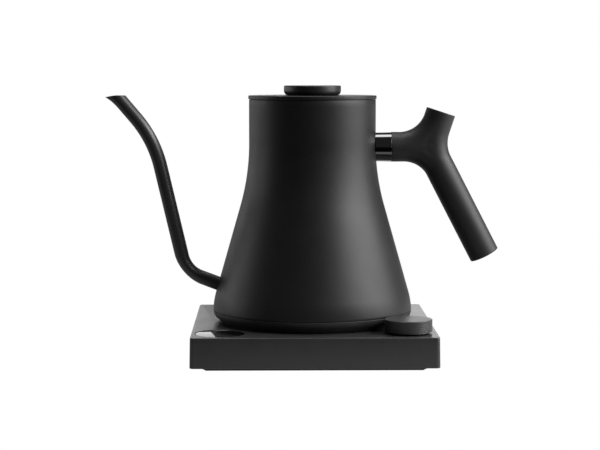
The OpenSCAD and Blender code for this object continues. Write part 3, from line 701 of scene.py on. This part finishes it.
def make_grip():
    """The fork-shaped grip: three tubes joined in one skin, each carried on to its own end."""
    over = 6 * MM
    limb_root = 40 * MM
    solids = [
        (out_of_fork(ARM_WAY, ARM_LEN + over, 12), ARM_R),
        (out_of_fork(STUB_WAY, STUB_LEN + over, 12), ARM_R),
        (out_of_fork(LIMB_WAY, limb_root, 14), LIMB_R),
        (fork_bend(ARM_WAY, STUB_WAY, ARM_BEND_R), ARM_R),
        (fork_bend(ARM_WAY, LIMB_WAY, ARM_BEND_R), ARM_R),
        (fork_bend(STUB_WAY, LIMB_WAY, BACK_BEND_R), ARM_R),
    ]
    points, faces = [], []
    for path, radius in solids:
        tube, skin = tube_along(path, radius, sides=64)
        faces += [tuple(v + len(points) for v in f) for f in skin]
        points += tube
    mesh = remeshed(points, faces, 0.7 * MM)
    smooth_near(mesh, FORK, 24 * MM, 32 * MM, 120)
    for way, radius, start in ((ARM_WAY, ARM_R, 22 * MM), (STUB_WAY, ARM_R, 20.5 * MM),
                               (LIMB_WAY, LIMB_R, 17 * MM)):
        snap_round(mesh, way, radius, start, start + 3 * MM)
    bm = bmesh.new()
    bm.from_mesh(mesh)
    cut_back = 2 * MM

    carry_on(bm, ARM_WAY, ARM_LEN - cut_back, ARM_R,
             [(ARM_LEN - 1.2 * MM, ARM_R)] + rounded_end(ARM_LEN, ARM_R, 0.15 * MM, 3))

    well_r, well_edge, well_depth = CAP_R + 0.15 * MM, 0.2 * MM, 1.9 * MM
    stub = [(STUB_LEN - 1.4 * MM, ARM_R)] + rounded_end(STUB_LEN, ARM_R, 0.35 * MM)
    stub += [(STUB_LEN, well_r + well_edge), (STUB_LEN - well_edge, well_r),
             (STUB_LEN - well_depth, well_r)]
    carry_on(bm, STUB_WAY, STUB_LEN - cut_back, ARM_R, stub)

    dome_r, dome_edge = 45 * MM, 0.6 * MM
    dome_start = LIMB_LEN - dome_r + math.sqrt(dome_r ** 2 - LIMB_R ** 2)
    limb_start = 26 * MM
    limb = [(d, LIMB_R) for d in np.linspace(limb_start + cut_back, dome_start - 1.2 * MM, 14)]
    limb += rounded_end(dome_start + 0.05 * MM, LIMB_R, dome_edge)[:-1]
    limb += [(LIMB_LEN - dome_r + math.sqrt(dome_r ** 2 - r ** 2), r)
             for r in np.linspace(LIMB_R - 0.9 * MM, 0.8 * MM, 12)]
    carry_on(bm, LIMB_WAY, limb_start, LIMB_R, limb)

    bmesh.ops.recalc_face_normals(bm, faces=bm.faces)
    bm.to_mesh(mesh)
    bm.free()
    finish_piece("handle_fork", mesh, "grip_plastic", "kettle", ["handle_grip"], sharp=40)


def turned_to(mesh, at, way):
    """Moves a mesh made about +Z so that its axis runs along way from a point."""
    mesh.transform(Matrix.Translation(at) @ way.to_track_quat("Z", "Y").to_matrix().to_4x4())
    return mesh


def make_cap():
    """The cap sunk in the stub's well."""
    thick, sunk = 1.4 * MM, 0.5 * MM
    outline = rounded([(0, -thick, 0), (CAP_R, -thick, 0), (CAP_R, 0, 0.3 * MM), (0, 0, 0)])
    mesh = turned_to(lathe(outline, 96), FORK + STUB_WAY * (STUB_LEN - sunk), STUB_WAY)
    finish_piece("stub_cap", mesh, "cap_plastic", "kettle", ["handle_cap"])


def make_neck():
    """The glossy piece between the vessel and the grip, let into the vessel's wall."""
    gap = 0.02 * MM
    start = NECK_R - 0.6 * MM
    run = NECK_END - start - gap
    root_r, end_r = ARM_R - 0.3 * MM, ARM_R - gap
    outline = rounded([(0, 0, 0), (root_r, 0, 0), (end_r, run, 0.15 * MM), (0, run, 0)])
    mesh = turned_to(lathe(outline, 128), Vector((start, 0, ARM_Z)), Vector((1, 0, 0)))
    finish_piece("handle_collar", mesh, "neck_gloss", "kettle", ["handle_neck"])


# ------------------------------------------------------------------------ lid

def make_lid():
    """The flat plate of the lid."""
    low, high = plate_low.z, plate_high.z
    r = plate_high.x
    outline = rounded([(0, low, 0), (r, low, 0.3 * MM), (r, high, 0.45 * MM), (0, high, 0)])
    finish_piece("lid_disc", lathe(outline, 256), "kettle_coat", "lid", ["lid_plate"])


def make_knob():
    """The lid's knob: a low drum whose side curves in to a narrower foot."""
    low, high = knob_low.z, knob_high.z
    r, foot_r = knob_high.x, 17.1 * MM
    curve_h = 3.4 * MM
    edge = 0.9 * MM
    outline = [(0, low)]
    outline += [(foot_r + (r - foot_r) * math.sin(a), low + curve_h * (1 - math.cos(a)))
                for a in np.linspace(0, math.pi / 2, 14)]
    outline += rolled_edge(r, high, edge, 9)
    outline += [(0, high)]
    finish_piece("lid_button", lathe(outline, 192), "knob_coat", "lid", ["lid_knob"])


# ----------------------------------------------------------------------- base

def rounded_square(half, radius):
    """A square of half its width, with round corners, as (x, y)."""
    outline = []
    for quarter in range(4):
        a0 = 90 * quarter
        cx = (half - radius) * (1 if quarter in (0, 3) else -1)
        cy = (half - radius) * (1 if quarter in (0, 1) else -1)
        outline += arc((cx, cy), radius, a0, a0 + 90, 8)
    return outline


def cut_holes(piece_mesh, cutters):
    """Takes cutters' meshes out of a mesh with an exact boolean."""
    target = bpy.data.objects.new("target", piece_mesh)
    bpy.context.scene.collection.objects.link(target)
    for cutter_mesh in cutters:
        cutter = bpy.data.objects.new("cutter", cutter_mesh)
        bpy.context.scene.collection.objects.link(cutter)
        modifier = target.modifiers.new("cut", "BOOLEAN")
        modifier.operation = "DIFFERENCE"
        modifier.solver = "EXACT"
        modifier.object = cutter
        evaluated = target.evaluated_get(bpy.context.evaluated_depsgraph_get())
        result = bpy.data.meshes.new_from_object(evaluated)
        target.modifiers.clear()
        target.data = result
        bpy.data.objects.remove(cutter)
    result = target.data
    bpy.data.objects.remove(target)
    return result


def flared_hole(radius, low, high, flare):
    """A cutter's outline: a round hole that opens out by a chamfer at its top."""
    over = flare / 2
    return [(0, low), (radius, low), (radius, high - over), (radius + flare, high + over),
            (0, high + over)]


def make_base():
    """The housing: a hollow square block with its openings cut through."""
    half = 85.3 * MM
    draft = 0.35 * MM
    corner, least_corner = 3.0 * MM, 0.5 * MM
    wall = 2.2 * MM
    edge, foot_edge = 0.7 * MM, 0.35 * MM
    low, high = base_low.z, base_high.z
    levels = [(half - foot_edge, low), (half, low + foot_edge)]
    levels += [(half - draft * (z - low) / (high - low), z)
               for z in np.linspace(low + MM, high - edge, 6)]
    levels += rolled_edge(half - draft, high, edge, 7)[1:]

    def ring(level):
        h, z = level
        radius = max(corner - (half - h), least_corner)
        return [(x, y, z) for x, y in rounded_square(h, radius)]

    shell = mesh_from(*sweep(levels, ring))
    hollow = mesh_from(*sweep([(half - wall, high - wall), (half - wall, low - MM)], ring))
    window = lathe(flared_hole(17.1 * MM, low, high, 0.9 * MM), 128, LENS_AXIS)
    socket = lathe(flared_hole(17.2 * MM, low, high, 0.8 * MM), 96)
    shaft_r = 3.6 * MM
    shaft = lathe([(0, low), (shaft_r, low), (shaft_r, high + MM), (0, high + MM)], 48, DIAL_AXIS)

    reach = 4 * MM
    gland_r = 6.0 * MM
    port = lathe([(0, -reach), (gland_r, -reach), (gland_r, reach), (0, reach)], 64)
    turned_to(port, Vector(((gland_low.x + gland_high.x) / 2, half, GLAND_Z)), Vector((0, 1, 0)))
    slot_x, slot_half, slot_rise, slot_corner = 45 * MM, 5.5 * MM, 2.2 * MM, 0.8 * MM
    slot_outline = rounded([(side * slot_half, up * slot_rise, slot_corner)
                            for side, up in ((-1, -1), (1, -1), (1, 1), (-1, 1))], 4)

    def slot_ring(y):
        return [(slot_x + x, half + y, GLAND_Z + z) for x, z in slot_outline]

    slot = mesh_from(*sweep([-reach, reach], slot_ring))
    mesh = cut_holes(shell, [hollow, window, shaft, socket, port, slot])
    finish_piece("base_shell", mesh, "base_coat", "base", ["base_housing"])


def make_lens():
    """The display's window, with a step under the housing that keeps it in."""
    r, step_out, step_t = 17 * MM, 0.9 * MM, 1.6 * MM
    low, high = lens_low.z, lens_high.z
    outline = rounded([(0, low, 0), (r + step_out, low, 0), (r + step_out, low + step_t, 0),
                       (r, low + step_t, 0), (r, high, 0.3 * MM), (0, high, 0)])
    finish_piece("display_window", lathe(outline, 160, LENS_AXIS), "display_gloss", "base",
                 ["display_lens"])


def make_dial():
    """The dial: a cap with fine turned lines round its side, hollow underneath."""
    r = (dial_high.x - dial_low.x) / 2
    low, high = dial_low.z, dial_high.z
    skin = 2.3 * MM
    shaft_r = 4 * MM
    edge = 0.45 * MM
    groove, pitch = 0.08 * MM, 1.25 * MM
    plain_foot, plain_sides = 0.9 * MM, 1.2 * MM
    outline = rounded([(0, low + MM, 0), (shaft_r, low + MM, 0.2 * MM), (shaft_r, high - skin, 0),
                       (r - skin, high - skin, 0), (r - skin, low, 0.3 * MM), (r, low, 0.35 * MM)], 4)
    for k in range(int((high - low - plain_sides) / pitch)):
        z = low + plain_foot + pitch * k
        outline += [(r, z), (r - groove, z + 0.22 * pitch), (r, z + 0.44 * pitch)]
    outline += rolled_edge(r, high, edge, 6)
    outline += [(r * 0.5, high), (0, high)]
    finish_piece("control_dial", lathe(outline, 192, DIAL_AXIS), "dial_coat", "dial", ["dial"],
                 sharp=25)


# ----------------------------------------------------------------- the studio

MIDDLE = Vector((0, 0, 110 * MM))


def around(azimuth, elevation, distance):
    """A place by its azimuth from the front (+ towards +X), its elevation and its distance."""
    azimuth, elevation = math.radians(azimuth), math.radians(elevation)
    flat = math.cos(elevation)
    return MIDDLE + distance * Vector((math.sin(azimuth) * flat, -math.cos(azimuth) * flat,
                                       math.sin(elevation)))


def softbox(name, azimuth, elevation, wide, tall, radiance, distance=1.6):
    """A soft panel that faces the kettle, wide and tall in degrees as the kettle sees it."""
    data = bpy.data.lights.new(name, "AREA")
    data.shape = "RECTANGLE"
    data.size = 2 * distance * math.tan(math.radians(wide / 2))
    data.size_y = 2 * distance * math.tan(math.radians(tall / 2))
    data.energy = radiance * math.pi * data.size * data.size_y
    light = bpy.data.objects.new(name, data)
    light.location = around(azimuth, elevation, distance)
    light.rotation_euler = (MIDDLE - light.location).to_track_quat("-Z", "Y").to_euler()
    light.visible_camera = False
    bpy.context.scene.collection.objects.link(light)


def make_lights():
    """Soft panels at both sides, overhead and behind, seen only as reflections."""
    softbox("right_low", 80, 11, 44, 26, 3.9)
    softbox("right_high", 75, 34, 50, 18, 11.6)
    softbox("overhead", 180, 81, 34, 25, 4.6, 1.3)
    softbox("left_side", -105, 7, 30, 14, 2.1)
    softbox("left_rear", -135, 7, 30, 14, 0.9)
    softbox("left_high", -105, 25, 30, 22, 0.4)
    softbox("rear_right", 173, 9.5, 20, 15, 1.8)
    softbox("rear_left", -169, 9.5, 12, 15, 1.3)
    softbox("rear_wide", 180, 24, 60, 14, 0.6)


def make_floor():
    """A pale floor: an even white to the camera, and to the kettle a painted glow of light that rises
    towards the lit side at +X and stops in front.
    """
    half = 6
    below_feet = 0.2 * MM
    corners = [(-half, -half, 0), (half, -half, 0), (half, half, 0), (-half, half, 0)]
    mesh = mesh_from(corners, [(0, 1, 2, 3)])
    floor = bpy.data.objects.new("floor", mesh)
    floor.location.z = -below_feet
    bpy.context.scene.collection.objects.link(floor)
    material = bpy.data.materials.new("floor_white")
    material.use_nodes = True
    tree = material.node_tree
    tree.nodes.remove(tree.nodes["Principled BSDF"])
    place = tree.nodes.new("ShaderNodeTexCoord")
    axes = tree.nodes.new("ShaderNodeSeparateXYZ")
    # painted light: the floor's glow to the kettle rises towards +X, a pool of light from the right
    # panels
    painted_light_ramp = tree.nodes.new("ShaderNodeMapRange")
    painted_light_ramp.interpolation_type = "SMOOTHSTEP"
    for name, value in (("From Min", -0.3), ("From Max", 0.6), ("To Min", 0.34), ("To Max", 0.85)):
        painted_light_ramp.inputs[name].default_value = value
    # the painted light stops in front of y = -0.2 m: there the floor glows nothing to the kettle
    front_edge = tree.nodes.new("ShaderNodeMapRange")
    for name, value in (("From Min", -0.2), ("From Max", -0.18)):
        front_edge.inputs[name].default_value = value
    strength = tree.nodes.new("ShaderNodeMath")
    strength.operation = "MULTIPLY"
    # painted floor glow that the kettle reflects, in place of light falling on the floor; the camera
    # sees plain white
    painted_floor_glow = tree.nodes.new("ShaderNodeEmission")
    camera_sees = tree.nodes.new("ShaderNodeEmission")
    camera_sees.inputs["Strength"].default_value = 1.0
    mix = tree.nodes.new("ShaderNodeMixShader")
    path = tree.nodes.new("ShaderNodeLightPath")
    tree.links.new(place.outputs["Object"], axes.inputs["Vector"])
    tree.links.new(axes.outputs["X"], painted_light_ramp.inputs["Value"])
    tree.links.new(axes.outputs["Y"], front_edge.inputs["Value"])
    tree.links.new(painted_light_ramp.outputs["Result"], strength.inputs[0])
    tree.links.new(front_edge.outputs["Result"], strength.inputs[1])
    tree.links.new(strength.outputs["Value"], painted_floor_glow.inputs["Strength"])
    tree.links.new(path.outputs["Is Camera Ray"], mix.inputs["Fac"])
    tree.links.new(painted_floor_glow.outputs["Emission"], mix.inputs[1])
    tree.links.new(camera_sees.outputs["Emission"], mix.inputs[2])
    tree.links.new(mix.outputs["Shader"], tree.nodes["Material Output"].inputs["Surface"])
    mesh.materials.append(material)


def make_world():
    """White to the camera, and a dim room to everything else."""
    world = bpy.data.worlds.new("studio")
    bpy.context.scene.world = world
    world.use_nodes = True
    tree = world.node_tree
    backdrop = tree.nodes["Background"]
    backdrop.inputs["Color"].default_value = (1, 1, 1, 1)
    backdrop.inputs["Strength"].default_value = 1.0
    room = tree.nodes.new("ShaderNodeBackground")
    room.inputs["Color"].default_value = (1, 1, 1, 1)
    room.inputs["Strength"].default_value = 0.07
    mix = tree.nodes.new("ShaderNodeMixShader")
    path = tree.nodes.new("ShaderNodeLightPath")
    tree.links.new(path.outputs["Is Camera Ray"], mix.inputs["Fac"])
    tree.links.new(room.outputs["Background"], mix.inputs[1])
    tree.links.new(backdrop.outputs["Background"], mix.inputs[2])
    tree.links.new(mix.outputs["Shader"], tree.nodes["World Output"].inputs["Surface"])


def make_look():
    """Plain display colours, with no filmic curve."""
    scene = bpy.context.scene
    scene.view_settings.view_transform = "Standard"
    scene.view_settings.look = "None"


# ------------------------------------------------------------------- assembly

make_camera()
dress_cad_nodes()
make_vessel()
make_lining()
make_skirt()
make_spout()
make_grip()
make_cap()
make_neck()
make_lid()
make_knob()
make_base()
make_lens()
make_dial()
make_floor()
make_world()
make_lights()
make_look()
